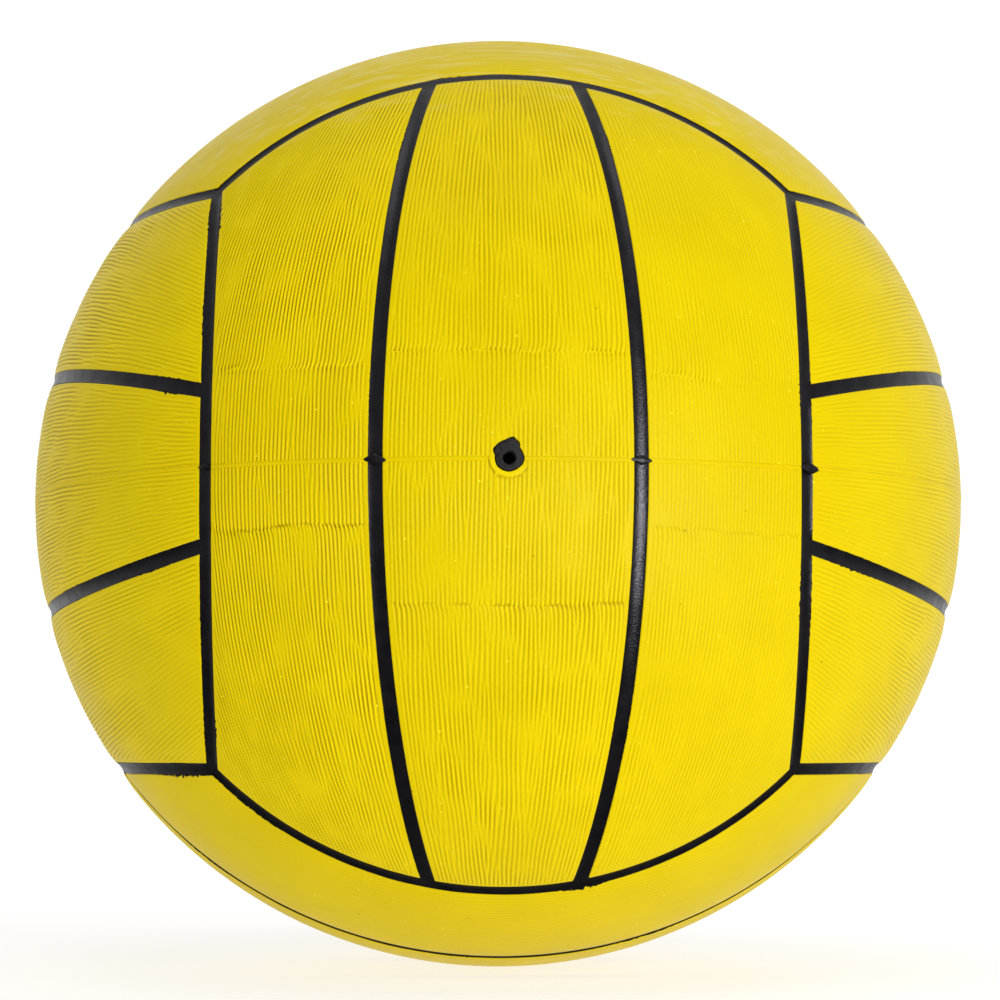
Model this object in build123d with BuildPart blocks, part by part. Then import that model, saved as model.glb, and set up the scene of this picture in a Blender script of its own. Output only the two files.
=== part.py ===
from build123d import *
import math
import os

os.makedirs("parts", exist_ok=True)

# Water polo ball. The origin is the ball's centre, +Z is up and the valve faces -Y.

# Driving dimensions of the layers, in millimetres
BALL_DIAMETER = 220.0
COVER_THICKNESS = 1.2
CARCASS_THICKNESS = 0.4
WINDING_THICKNESS = 0.4
BLADDER_THICKNESS = 0.7
BOND_GAP = 0.1

# Driving dimensions of the panel pattern, in millimetres and degrees
CHANNEL_WIDTH = 3.0
CHANNEL_DEPTH = 0.5
CHANNEL_CLEARANCE = 0.1
PANEL_EDGE_RADIUS = 0.4
MIDDLE_PANEL_HALF_ANGLE = 14.4

# Driving dimensions of the valve, in millimetres
NEEDLE_HOLE_DIAMETER = 2.4
NEEDLE_HOLE_DEPTH = 8.0
NEEDLE_MOUTH_CHAMFER = 0.35
PLUG_HEAD_DIAMETER = 6.6
PLUG_HEAD_PROUD = 0.1
PLUG_HEAD_ROUND = 0.4
PLUG_HEAD_CLEARANCE = 0.15
PLUG_SHANK_DIAMETER = 5.0
PLUG_SHANK_LENGTH = 13.0
PLUG_TIP_CHAMFER = 0.8
PLUG_CLEARANCE = 0.05
POCKET_END_GAP = 0.3
BOSS_WIDTH = 1.2
BOSS_HEIGHT = 0.35
BOSS_ROUND = 0.25
SEAT_WALL = 1.6
SEAT_END_WALL = 1.8
SEAT_END_ROUND = 1.5
SEAT_NECK_CLEARANCE = 0.15
FLANGE_DIAMETER = 28.0
FLANGE_THICKNESS = 1.6
FLANGE_EDGE = 0.5

# Radii of the layers, from the outside in
COVER_RADIUS = BALL_DIAMETER / 2
COVER_INSIDE = COVER_RADIUS - COVER_THICKNESS
CARCASS_RADIUS = COVER_INSIDE - BOND_GAP
WINDING_RADIUS = CARCASS_RADIUS - CARCASS_THICKNESS - BOND_GAP
BLADDER_RADIUS = WINDING_RADIUS - WINDING_THICKNESS - BOND_GAP
FLANGE_RADIUS = BLADDER_RADIUS - BLADDER_THICKNESS - BOND_GAP

# Three edge lines meet in each corner of the pattern, which fixes the cone that bounds a face and
# how far an edge line turns about its own axis from its middle to a corner.
FACE_ANGLE = math.degrees(math.acos(1 / math.sqrt(3)))
CORNER_ANGLE = 45.0
CHANNEL_ANGLE = math.degrees(CHANNEL_WIDTH / 2 / COVER_RADIUS)
STRIP_HALF_WIDTH = CHANNEL_WIDTH / 2 - CHANNEL_CLEARANCE
STRIP_ANGLE = math.degrees(STRIP_HALF_WIDTH / COVER_RADIUS)
STRIP_RADII = (COVER_INSIDE, COVER_RADIUS - CHANNEL_DEPTH)

# A blank reaches this far past the face it is cut down to, and a cutting cone this far past the ball.
BLANK_MARGIN = 5.0
CONE_REACH = 1.2

# Valve sizes that follow from the driving ones
SHANK_RADIUS = PLUG_SHANK_DIAMETER / 2
HEAD_RADIUS = PLUG_HEAD_DIAMETER / 2
NEEDLE_RADIUS = NEEDLE_HOLE_DIAMETER / 2
PANEL_HOLE_RADIUS = HEAD_RADIUS + PLUG_HEAD_CLEARANCE
BOSS_RADIUS = PANEL_HOLE_RADIUS + BOSS_WIDTH
POCKET_RADIUS = SHANK_RADIUS + PLUG_CLEARANCE
NECK_RADIUS = max(POCKET_RADIUS, HEAD_RADIUS) + SEAT_WALL
NECK_HOLE_RADIUS = NECK_RADIUS + SEAT_NECK_CLEARANCE
SEAT_TOP = math.sqrt(COVER_INSIDE**2 - NECK_RADIUS**2) - BOND_GAP
HEAD_TOP = COVER_RADIUS + PLUG_HEAD_PROUD
SHANK_END = SEAT_TOP - PLUG_SHANK_LENGTH
POCKET_END = SHANK_END - POCKET_END_GAP
SEAT_END = POCKET_END - SEAT_END_WALL

CENTRE = (0, 0, 0)
VALVE_AXIS = Axis.Y
VALVE_PLANE = Plane((0, -COVER_RADIUS, 0), x_dir=(1, 0, 0), z_dir=(0, -1, 0))
# Half section of the valve: x runs out from the valve's axis, y out of the ball.
VALVE_SECTION = Plane(CENTRE, x_dir=(1, 0, 0), z_dir=(0, 0, -1))

# Each face has three panels side by side. Its plane's z runs along them, x across them from the
# first to the last, and y into the ball. The panels of neighbouring faces run square to each other.
FACES = {
    "front": (Plane(CENTRE, x_dir=(1, 0, 0), z_dir=(0, 0, 1)), ("left", "middle", "right")),
    "back": (Plane(CENTRE, x_dir=(-1, 0, 0), z_dir=(0, 0, 1)), ("left", "middle", "right")),
    "right": (Plane(CENTRE, x_dir=(0, 0, -1), z_dir=(0, 1, 0)), ("upper", "middle", "lower")),
    "left": (Plane(CENTRE, x_dir=(0, 0, 1), z_dir=(0, 1, 0)), ("lower", "middle", "upper")),
    "top": (Plane(CENTRE, x_dir=(0, -1, 0), z_dir=(1, 0, 0)), ("rear", "middle", "front")),
    "bottom": (Plane(CENTRE, x_dir=(0, 1, 0), z_dir=(1, 0, 0)), ("front", "middle", "rear")),
}
SIDES = (-1, 0, 1)
VALVE_FACE = "front"


def save(piece, name):
    """Name a finished piece and write it."""
    piece.part.label = name
    export_step(piece.part, f"parts/{name}.step")


def outward(face, angle=0.0):
    """Direction out of the ball, turned by an angle across the face from its middle."""
    turn = math.radians(angle)
    return face.x_dir * math.sin(turn) - face.y_dir * math.cos(turn)


def across(face, angle):
    """Direction along the surface, square to the panels, at an angle from the face's middle."""
    turn = math.radians(angle)
    return face.x_dir * math.cos(turn) + face.y_dir * math.sin(turn)


def beside_line(face, side, offset):
    """Cutting plane beside the inner line on one side, moved across the face by an offset."""
    direction = across(face, side * MIDDLE_PANEL_HALF_ANGLE)
    return Plane(direction * offset, x_dir=face.z_dir, z_dir=direction)


def cone_about(direction, half_angle):
    """Solid cone from the ball's centre out past the cover, so that what it cuts has radial walls."""
    height = COVER_RADIUS * CONE_REACH
    base = height * math.tan(math.radians(half_angle))
    with BuildPart(Plane(CENTRE, z_dir=direction), mode=Mode.PRIVATE) as cone:
        Cone(0, base, height, align=(Align.CENTER, Align.CENTER, Align.MIN))
    return cone.part


def slice_of_face(face, radii, cuts):
    """Slice of a spherical layer, turned about the panels' own axis and cut down to one face."""
    inside, outside = radii
    reach = FACE_ANGLE + BLANK_MARGIN
    start = -(CORNER_ANGLE + BLANK_MARGIN)
    ends = cone_about(outward(face), FACE_ANGLE - CHANNEL_ANGLE)
    edge = outward(face, start)
    with BuildPart() as piece:
        with BuildSketch(Plane(CENTRE, x_dir=edge, z_dir=edge.cross(face.z_dir))):
            with BuildLine():
                outer_arc = CenterArc((0, 0), outside, -reach, 2 * reach)
                inner_arc = CenterArc((0, 0), inside, -reach, 2 * reach)
                Line(outer_arc @ 0, inner_arc @ 0)
                Line(outer_arc @ 1, inner_arc @ 1)
            make_face()
        revolve(axis=Axis(CENTRE, face.z_dir), revolution_arc=-2 * start)
        for plane, keep in cuts:
            split(bisect_by=plane, keep=keep)
        add(ends, mode=Mode.INTERSECT)
    return piece


def panel_blank(face, side):
    """One panel with square edges: the middle one lies between two lines, an outer one beside one."""
    radii = (COVER_INSIDE, COVER_RADIUS)
    half = CHANNEL_WIDTH / 2
    if side == 0:
        first = (beside_line(face, -1, half), Keep.TOP)
        last = (beside_line(face, 1, -half), Keep.BOTTOM)
        return slice_of_face(face, radii, (first, last)).part
    keep = Keep.TOP if side > 0 else Keep.BOTTOM
    blank = slice_of_face(face, radii, ((beside_line(face, side, side * half), keep),))
    with BuildPart() as trimmed:
        add(blank.part)
        add(cone_about(face.x_dir * side, FACE_ANGLE + CHANNEL_ANGLE), mode=Mode.SUBTRACT)
    return trimmed.part


def build_panel(face, side, has_valve):
    """Cover panel with a rounded outer rim, and with the valve's hole and lip where it has one."""
    with BuildPart() as panel:
        add(panel_blank(face, side))
        outer_face = panel.faces().filter_by(GeomType.SPHERE).sort_by(SortBy.AREA)[-1]
        fillet(outer_face.edges(), PANEL_EDGE_RADIUS)
        if has_valve:
            with BuildSketch(VALVE_PLANE.offset(BOSS_HEIGHT)):
                Circle(BOSS_RADIUS)
            extrude(amount=-BOSS_HEIGHT - COVER_THICKNESS / 2)
            with BuildSketch(VALVE_PLANE.offset(BOSS_HEIGHT)):
                Circle(PANEL_HOLE_RADIUS)
            extrude(amount=-BOSS_HEIGHT - 2 * COVER_THICKNESS, mode=Mode.SUBTRACT)
            lip = panel.faces().filter_by(GeomType.PLANE).sort_by(VALVE_AXIS)[0]
            fillet(lip.edges(), BOSS_ROUND)
    return panel


def build_inner_strip(face, side):
    """Black strip on the floor of a channel between two panels of one face."""
    first = (beside_line(face, side, -STRIP_HALF_WIDTH), Keep.TOP)
    last = (beside_line(face, side, STRIP_HALF_WIDTH), Keep.BOTTOM)
    return slice_of_face(face, STRIP_RADII, (first, last))


def build_edge_strip(face, side):
    """Black strip on the floor of the channel along a face's long edge, mitred at both corners."""
    inside, outside = STRIP_RADII
    along, into, turned_from = face.z_dir, face.y_dir, face.x_dir * side
    start = -(CORNER_ANGLE + BLANK_MARGIN)
    turn = math.radians(start)
    edge = along * math.sin(turn) - into * math.cos(turn)
    with BuildPart() as strip:
        with BuildSketch(Plane(CENTRE, x_dir=turned_from, z_dir=turned_from.cross(edge))):
            with BuildLine():
                outer_arc = CenterArc((0, 0), outside, FACE_ANGLE - STRIP_ANGLE, 2 * STRIP_ANGLE)
                inner_arc = CenterArc((0, 0), inside, FACE_ANGLE - STRIP_ANGLE, 2 * STRIP_ANGLE)
                Line(outer_arc @ 0, inner_arc @ 0)
                Line(outer_arc @ 1, inner_arc @ 1)
            make_face()
        revolve(axis=Axis(CENTRE, turned_from), revolution_arc=2 * start * side)
        for end in (-1, 1):
            for normal in (
                turned_from * -1 - into * 2 - along * end,
                turned_from - into - along * 2 * end,
            ):
                split(bisect_by=Plane(CENTRE, z_dir=normal), keep=Keep.TOP)
    return strip


def build_layer(radius, thickness):
    """Closed spherical layer under the cover, with a hole for the neck of the valve seat."""
    with BuildPart() as layer:
        Sphere(radius)
        Sphere(radius - thickness, mode=Mode.SUBTRACT)
        with BuildSketch(VALVE_PLANE):
            Circle(NECK_HOLE_RADIUS)
        extrude(amount=-COVER_RADIUS, mode=Mode.SUBTRACT)
    return layer


# Cover panels and the black strips in the channels between them
for face_name, (face_plane, side_names) in FACES.items():
    for panel_side, side_name in zip(SIDES, side_names):
        valve_here = face_name == VALVE_FACE and panel_side == 0
        save(build_panel(face_plane, panel_side, valve_here), f"{face_name}_panel_{side_name}")
        if panel_side != 0:
            inner_strip = build_inner_strip(face_plane, panel_side)
            save(inner_strip, f"{face_name}_channel_inner_{side_name}")
            edge_strip = build_edge_strip(face_plane, panel_side)
            save(edge_strip, f"{face_name}_channel_edge_{side_name}")

# Layers under the cover
save(build_layer(CARCASS_RADIUS, CARCASS_THICKNESS), "carcass")
save(build_layer(WINDING_RADIUS, WINDING_THICKNESS), "nylon_winding")
save(build_layer(BLADDER_RADIUS, BLADDER_THICKNESS), "bladder")

# Valve seat: a flange bonded inside the bladder, a neck out to the cover and a closed pocket inwards
FLANGE_NECK_ANGLE = math.degrees(math.acos(NECK_RADIUS / FLANGE_RADIUS))
FLANGE_RIM_ANGLE = math.degrees(math.acos(FLANGE_DIAMETER / 2 / FLANGE_RADIUS))
FLANGE_RIM = FLANGE_RADIUS * math.sin(math.radians(FLANGE_RIM_ANGLE))
with BuildPart() as valve_seat:
    with BuildSketch(VALVE_SECTION):
        with BuildLine():
            flange_arc = CenterArc(
                (0, 0), FLANGE_RADIUS, FLANGE_NECK_ANGLE, FLANGE_RIM_ANGLE - FLANGE_NECK_ANGLE
            )
            Polyline(
                flange_arc @ 1,
                (FLANGE_DIAMETER / 2, FLANGE_RIM - FLANGE_EDGE),
                (NECK_RADIUS, FLANGE_RIM - FLANGE_THICKNESS),
                (NECK_RADIUS, SEAT_END + SEAT_END_ROUND),
                (NECK_RADIUS - SEAT_END_ROUND, SEAT_END),
                (0, SEAT_END),
                (0, POCKET_END),
                (POCKET_RADIUS, POCKET_END),
                (POCKET_RADIUS, SEAT_TOP),
                (NECK_RADIUS, SEAT_TOP),
                flange_arc @ 0,
            )
        make_face()
    revolve(axis=VALVE_AXIS)
save(valve_seat, "valve_seat")

# Valve plug: a head flush with the cover, a plain shank in the seat's pocket and a blind needle hole
with BuildPart() as valve_plug:
    with BuildSketch(VALVE_SECTION):
        with BuildLine():
            head_round = CenterArc(
                (HEAD_RADIUS - PLUG_HEAD_ROUND, HEAD_TOP - PLUG_HEAD_ROUND), PLUG_HEAD_ROUND, 90, -90
            )
            Polyline(
                head_round @ 1,
                (HEAD_RADIUS, SEAT_TOP),
                (SHANK_RADIUS, SEAT_TOP),
                (SHANK_RADIUS, SHANK_END + PLUG_TIP_CHAMFER),
                (SHANK_RADIUS - PLUG_TIP_CHAMFER, SHANK_END),
                (0, SHANK_END),
                (0, HEAD_TOP - NEEDLE_HOLE_DEPTH),
                (NEEDLE_RADIUS, HEAD_TOP - NEEDLE_HOLE_DEPTH),
                (NEEDLE_RADIUS, HEAD_TOP - NEEDLE_MOUTH_CHAMFER),
                (NEEDLE_RADIUS + NEEDLE_MOUTH_CHAMFER, HEAD_TOP),
                head_round @ 0,
            )
        make_face()
    revolve(axis=VALVE_AXIS)
save(valve_plug, "valve_plug")
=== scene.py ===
# %% [markdown]
# # A water polo ball
# The skin of this ball is eighteen yellow rubber panels, three on each of six faces, and each face runs
# square to its neighbours. Black lines lie in the channels between them, and a small black plug closes
# the valve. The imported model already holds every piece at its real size, so this lesson keeps its frame
# and remodels what shows.

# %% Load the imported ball
import math

import bmesh
import bpy
import numpy as np
from mathutils import Matrix, Vector


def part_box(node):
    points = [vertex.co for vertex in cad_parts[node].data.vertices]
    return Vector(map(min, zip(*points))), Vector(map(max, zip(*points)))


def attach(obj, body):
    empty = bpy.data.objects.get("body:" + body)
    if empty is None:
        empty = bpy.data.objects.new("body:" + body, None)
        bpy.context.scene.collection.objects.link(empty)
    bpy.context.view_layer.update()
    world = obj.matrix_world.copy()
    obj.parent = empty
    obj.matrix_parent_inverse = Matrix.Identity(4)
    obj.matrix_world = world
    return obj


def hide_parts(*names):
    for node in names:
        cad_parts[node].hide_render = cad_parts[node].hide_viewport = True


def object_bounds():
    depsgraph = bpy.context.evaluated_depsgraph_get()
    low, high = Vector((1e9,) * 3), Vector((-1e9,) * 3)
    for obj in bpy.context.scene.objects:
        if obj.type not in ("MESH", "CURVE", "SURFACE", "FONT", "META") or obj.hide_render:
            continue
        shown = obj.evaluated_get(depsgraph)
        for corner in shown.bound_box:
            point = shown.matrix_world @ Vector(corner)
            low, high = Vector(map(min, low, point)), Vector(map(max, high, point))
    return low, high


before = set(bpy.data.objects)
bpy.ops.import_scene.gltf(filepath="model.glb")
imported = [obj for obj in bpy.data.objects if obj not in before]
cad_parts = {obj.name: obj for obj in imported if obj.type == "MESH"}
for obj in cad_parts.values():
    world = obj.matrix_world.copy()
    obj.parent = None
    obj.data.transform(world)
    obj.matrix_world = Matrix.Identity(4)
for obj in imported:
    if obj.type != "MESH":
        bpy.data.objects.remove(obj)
cad_low, cad_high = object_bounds()
print("packed ball from", tuple(cad_low), "to", tuple(cad_high))

# %% [markdown]
# ## The pattern of faces
# A face is described by two directions: across its three panels, and along them. Two angles then name
# any point of a face, like longitude and latitude. Writing the panels once in these angles and turning
# them to six faces is far less work than modelling eighteen pieces.

# %% Faces and the sizes they share
MM = 0.001
BALL_RADIUS = cad_high.x
COVER_THICKNESS = 1.2 * MM
CHANNEL_WIDTH = 3.0 * MM
CHANNEL_DEPTH = 0.5 * MM
LINE_TURN = math.radians(14.4)
FACE_TURN = math.acos(1 / math.sqrt(3))

FACES = {
    "front": ((1, 0, 0), (0, 0, 1), ("left", "middle", "right")),
    "back": ((-1, 0, 0), (0, 0, 1), ("left", "middle", "right")),
    "right": ((0, 0, -1), (0, 1, 0), ("upper", "middle", "lower")),
    "left": ((0, 0, 1), (0, 1, 0), ("lower", "middle", "upper")),
    "top": ((0, -1, 0), (1, 0, 0), ("rear", "middle", "front")),
    "bottom": ((0, 1, 0), (1, 0, 0), ("front", "middle", "rear")),
}
SIDES = (-1, 0, 1)


def axes_of(face):
    """Directions across the panels of a face and along them."""
    return [np.array(axis, float) for axis in FACES[face][:2]]


def outward(face, across, along):
    """Directions out of the ball at two angles from the middle of a face."""
    sideways, lengthways = axes_of(face)
    out = np.cross(sideways, lengthways)
    level = np.cos(along)[..., None]
    turned = np.cos(across)[..., None] * out + np.sin(across)[..., None] * sideways
    return level * turned + np.sin(along)[..., None] * lengthways


print("middle of the front face points", outward("front", np.zeros(1), np.zeros(1))[0])

# %% [markdown]
# ## Where a panel begins and ends
# Between two panels of one face runs a straight channel, a great circle. Along a face's long edge the
# channel is a smaller circle, cut by a cone about the sideways direction, and the panels' ends lie on a
# cone about the way out. Each helper takes an inset, so the same lines, moved inwards, also carry the
# rounding of the panel's rim.

# %% Lines that bound a panel
def beside_line(along, side, offset):
    """Turn across the face of a line that runs beside an inner channel, moved by an offset."""
    return side * LINE_TURN + np.arcsin(offset / (BALL_RADIUS * np.cos(along)))


def inside_edge(along, side, inset):
    """Turn across the face of a line that runs inside the face's long edge."""
    cone = FACE_TURN + (CHANNEL_WIDTH / 2 + inset) / BALL_RADIUS
    return side * np.arcsin(np.clip(np.cos(cone) / np.cos(along), -1, 1))


def before_end(across, inset):
    """Turn along the face at which a panel ends."""
    cone = FACE_TURN - (CHANNEL_WIDTH / 2 + inset) / BALL_RADIUS
    return np.arccos(np.clip(np.cos(cone) / np.cos(across), -1, 1))


def first_and_last(along, side, inset):
    """Turns across the face of a panel's two long sides."""
    offset = CHANNEL_WIDTH / 2 + inset
    if side < 0:
        return inside_edge(along, -1, inset), beside_line(along, -1, -offset)
    if side > 0:
        return beside_line(along, 1, offset), inside_edge(along, 1, inset)
    return beside_line(along, -1, offset), beside_line(along, 1, -offset)


def gap_to_channels(across, along, side):
    """Distance in metres from each point of a panel to the nearest channel's wall."""
    half = CHANNEL_WIDTH / 2
    level = np.cos(along)
    to_end = BALL_RADIUS * (FACE_TURN - np.arccos(np.cos(across) * level)) - half
    to_lines = [BALL_RADIUS * np.abs(level * np.sin(across - s * LINE_TURN)) - half for s in (-1, 1)]
    to_edge = BALL_RADIUS * (np.arccos(np.abs(np.sin(across)) * level) - FACE_TURN) - half
    sides = to_lines if side == 0 else [to_lines[(side + 1) // 2], to_edge]
    return np.maximum(np.minimum(to_end, np.minimum(*sides)), 0)


print("middle panel ends at", math.degrees(before_end(np.zeros(1), 0)[0]), "degrees")

# %% [markdown]
# ## Stops for the grid lines
# A panel's skin is one grid. Its outermost lines climb the channel's wall and turn over the rounded
# rim, and the lines between share out the face. They crowd together at the mould's seam, which is
# narrower than a plain cell.

# %% Grid stops from rim to rim
EDGE_ROUND = 0.4 * MM
WALL_DROP = 1.0 * MM
RIM_TURNS = np.radians((0, 25, 50, 70, 90))
FINE_STEPS = 4001
HALVINGS = 40


def crowded(count, crowds):
    """Shares from 0 to 1, closer together about each (place, strength, spread) of the crowds."""
    fine = np.linspace(-1, 1, FINE_STEPS)
    density = np.ones_like(fine)
    for place, strength, spread in crowds:
        density += strength * np.exp(-(((fine - place) / spread) ** 2))
    climb = np.concatenate([[0], np.cumsum((density[1:] + density[:-1]) / 2)])
    return np.interp(np.linspace(0, climb[-1], count), climb, (fine + 1) / 2)


def stops(count, crowds=()):
    """Inset, share and drop of every grid line, from one rim over the face to the other."""
    rim_insets = np.concatenate([[0], EDGE_ROUND * (1 - np.cos(RIM_TURNS))])
    rim_drops = np.concatenate([[WALL_DROP], EDGE_ROUND * (1 - np.sin(RIM_TURNS))])
    between = crowded(count, crowds)[1:-1]
    inner = np.full(len(between), EDGE_ROUND)
    insets = np.concatenate([rim_insets, inner, rim_insets[::-1]])
    drops = np.concatenate([rim_drops, inner * 0, rim_drops[::-1]])
    shares = np.concatenate([rim_insets * 0, between, rim_insets * 0 + 1])
    return insets, shares, drops


def spread_panel(side, columns, rows):
    """Turns across and along, and drops, of every corner of a panel's grid.

    The two turns depend on each other, so both are found by repeated halving of their error."""
    insets_c, shares_c, drops_c = columns
    insets_r, shares_r, drops_r = (stop[:, None] for stop in rows)
    across = np.zeros((len(insets_r), len(insets_c)))
    along = np.zeros_like(across)
    for _ in range(HALVINGS):
        first, last = first_and_last(along, side, insets_c)
        across = (across + first + (last - first) * shares_c) / 2
        along = (along + before_end(across, insets_r) * (2 * shares_r - 1)) / 2
    return across, along, np.maximum(drops_c, drops_r)


print("a rim takes", len(RIM_TURNS) + 1, "grid lines")

# %% [markdown]
# ## Grip ridges
# The rubber is moulded with fine ridges that run along each panel, waver, and fork now and then, like
# those of a fingertip. A repeating wave would look like corduroy. Here a few waves of nearly the same
# pitch are added up as complex numbers: their common phase gives the ridges, and where they cancel, a
# ridge ends or forks by itself. Towards a panel's ends the sum changes over to waves with fewer ridges,
# which keeps the pitch.

# %% Waves that add up to ridges
WAVES = 14
PITCH_SPREAD = 0.068
LEAN_SPREAD = 170.0
LEVELS = np.radians((0, 16, 26, 34, 41, 47, 53, 59))
FORK_SOFTNESS = 0.4


def ridges(across, along, middle, pitch, seed):
    """Ridge crests from -1 to 1 on a face, about a turn that lies in the middle of the panel."""
    draw = np.random.default_rng(seed)
    pull = 2 * np.pi / pitch * (1 + PITCH_SPREAD * draw.standard_normal(WAVES))
    lean = LEAN_SPREAD * draw.standard_normal(WAVES)
    start = draw.uniform(0, 2 * np.pi, WAVES)
    sum_of_waves = np.zeros(across.shape, complex)
    cosines = np.cos(LEVELS)
    place = np.interp(-np.cos(along), -cosines, np.arange(len(LEVELS)))
    for level, cosine in enumerate(cosines):
        weight = np.clip(1 - np.abs(place - level), 0, 1)
        near = weight > 0
        sideways = BALL_RADIUS * (across[near] - middle) * cosine
        lengthways = BALL_RADIUS * along[near]
        for k, m, p in zip(pull, lean, start):
            sum_of_waves[near] += weight[near] * np.exp(1j * (k * sideways + m * lengthways + p))
    return sum_of_waves.real / np.sqrt(np.abs(sum_of_waves) ** 2 + FORK_SOFTNESS**2 * WAVES)


print("ridge levels at", np.degrees(LEVELS))

# %% Helpers for soft steps and patches
PATCH_WAVES = 6


def eased(value, start, end):
    """0 before start, 1 after end, and a smooth step between them."""
    share = np.clip((value - start) / (end - start), 0, 1)
    return share * share * (3 - 2 * share)


def patches(places, size, seed):
    """Slow, soft unevenness from -1 to 1 over points in space, with patches of about one size."""
    draw = np.random.default_rng(seed)
    total = np.zeros(places.shape[:-1])
    for _ in range(PATCH_WAVES):
        wave = draw.standard_normal(3) * 2 / size
        total += np.sin(places @ wave + draw.uniform(0, 2 * np.pi))
    return total * 2 / PATCH_WAVES


print("halfway up a soft step:", eased(0.5, 0, 1))

# %% [markdown]
# ## The relief of a panel
# Ridges, band and seam add up to one height over the plain ball. A table gives each panel's ridge
# pitch, in millimetres, and depth: the ridges are deepest on the left of the front, and patches make
# them uneven, as wear in the mould does. A fine seam runs level round the ball where the mould's halves
# met. On the front and back a band about it was engraved apart, so its ridges start afresh along uneven
# steps. A bump map could fake all this, but real height catches the light from any side and shapes the
# outline too.

# %% Pitch and depth of the ridges
RIDGE_HEIGHT = 0.34 * MM
# Each depth also sets how dark the painted shade between that panel's ridges is, as do the depth changes
# below.
PITCH_AND_DEPTH = {
    "front": ((0.93, 0.92), (0.96, 0.62), (0.93, 0.33)),
    "back": ((0.93, 0.8), (0.96, 0.65), (0.93, 0.6)),
    "left": ((0.99, 0.92), (0.99, 0.86), (0.99, 0.88)),
    "right": ((0.99, 0.56), (0.99, 0.4), (0.99, 0.56)),
    "top": ((1.1, 0.25),) * 3,
    "bottom": ((1.1, 0.18),) * 3,
}
MEAN_DEPTH, DEPTH_RANGE = 0.88, (0.35, 1.3)
SLOW_SHARE, SLOW_SIZE, SLOW_SEED = 0.22, 0.16, 300
QUICK_SHARE, QUICK_SIZE, QUICK_SEED = 0.16, 0.04, 500
FLANKS = ("left", "right")
FLANK_FADE, FLANK_LEAST = (-0.62, -0.4), 0.5


def ridge_strength(face, depth, out, seed):
    """Depth of the ridges at every point of a panel, as a share of their height."""
    uneven = SLOW_SHARE * patches(out, SLOW_SIZE, seed + SLOW_SEED)
    uneven = uneven + QUICK_SHARE * patches(out, QUICK_SIZE, seed + QUICK_SEED)
    strength = depth * np.clip(MEAN_DEPTH + uneven, *DEPTH_RANGE)
    if face in FLANKS:
        strength = strength * (FLANK_LEAST + (1 - FLANK_LEAST) * eased(out[..., 1], *FLANK_FADE))
    return strength


print("ridges stand", RIDGE_HEIGHT / MM, "mm high")

# %% Seam and band
BANDED_FACES = ("front", "back")
SEAM_HALF_WIDTH = 0.3 * MM
SEAM_HEIGHT = 0.12 * MM
SEAM_GROOVE = 0.09 * MM
SEAM_SOFTNESS = 0.12 * MM
BAND_EDGES = {-1: (20.5 * MM, -13.0 * MM), 0: (23.0 * MM, -29.0 * MM), 1: (17.0 * MM, -14.0 * MM)}
BAND_DEPTH = {-1: 0.85, 0: 0.9, 1: 0.6}
BAND_WAVER, WAVER_SIZE, WAVER_SEED = 0.8 * MM, 0.12, 400
RIDGE_SEED, BAND_SEED = 100, 200
STEP_DROP, STEP_REACH = 0.016 * MM, 2.4 * MM
HOOK, HOOK_REACH = 0.5 * MM, 1.0 * MM
TICK, TICK_REACH = 0.7, 0.7 * MM
SCALLOP = 0.3 * MM
PANEL_MIDDLE = (LINE_TURN + FACE_TURN) / 2.2


def seam_height(level):
    """Height of the mould seam by the level above it."""
    off = np.abs(level)
    strip = 1 - eased(off, SEAM_HALF_WIDTH - SEAM_SOFTNESS, SEAM_HALF_WIDTH + SEAM_SOFTNESS)
    groove = np.exp(-(((off - SEAM_HALF_WIDTH - SEAM_SOFTNESS) / SEAM_SOFTNESS) ** 2))
    return SEAM_HEIGHT * strip - SEAM_GROOVE * groove


def band_relief(side, across, along, out, pitch, seed):
    """Ridge crests, change of depth and step of a panel that the seam's band crosses."""
    middle = side * PANEL_MIDDLE
    upper, lower = BAND_EDGES[side]
    level = BALL_RADIUS * out[..., 2]
    inner = ridges(across, along, middle, pitch, seed + BAND_SEED)
    waver = BAND_WAVER * patches(out, WAVER_SIZE, seed + WAVER_SEED) + SCALLOP * inner
    into_band = np.minimum(upper + waver - level, level - lower - waver)
    hook = HOOK / BALL_RADIUS * np.exp(-np.abs(into_band) / HOOK_REACH)
    outer = ridges(across + hook, along, middle, pitch, seed + RIDGE_SEED)
    crest = np.where(into_band > 0, inner, outer)
    change = np.where(into_band > 0, BAND_DEPTH[side], 1)
    change = change * (1 + TICK * np.exp(-((into_band / TICK_REACH) ** 2)))
    ledge = np.where(into_band > 0, 0, STEP_DROP * np.exp(np.minimum(into_band, 0) / STEP_REACH))
    return crest, change, ledge


print("the seam stands", SEAM_HEIGHT / MM, "mm high")

# %% Heights over the plain ball
MEAN_SHARE = 0.66
MARGIN = (0.5 * MM, 1.6 * MM)
CROWN_DROP, CROWN_REACH = 0.22 * MM, 2.6 * MM
SEAM_CLEAR = (0.3 * MM, 0.7 * MM)


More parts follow.
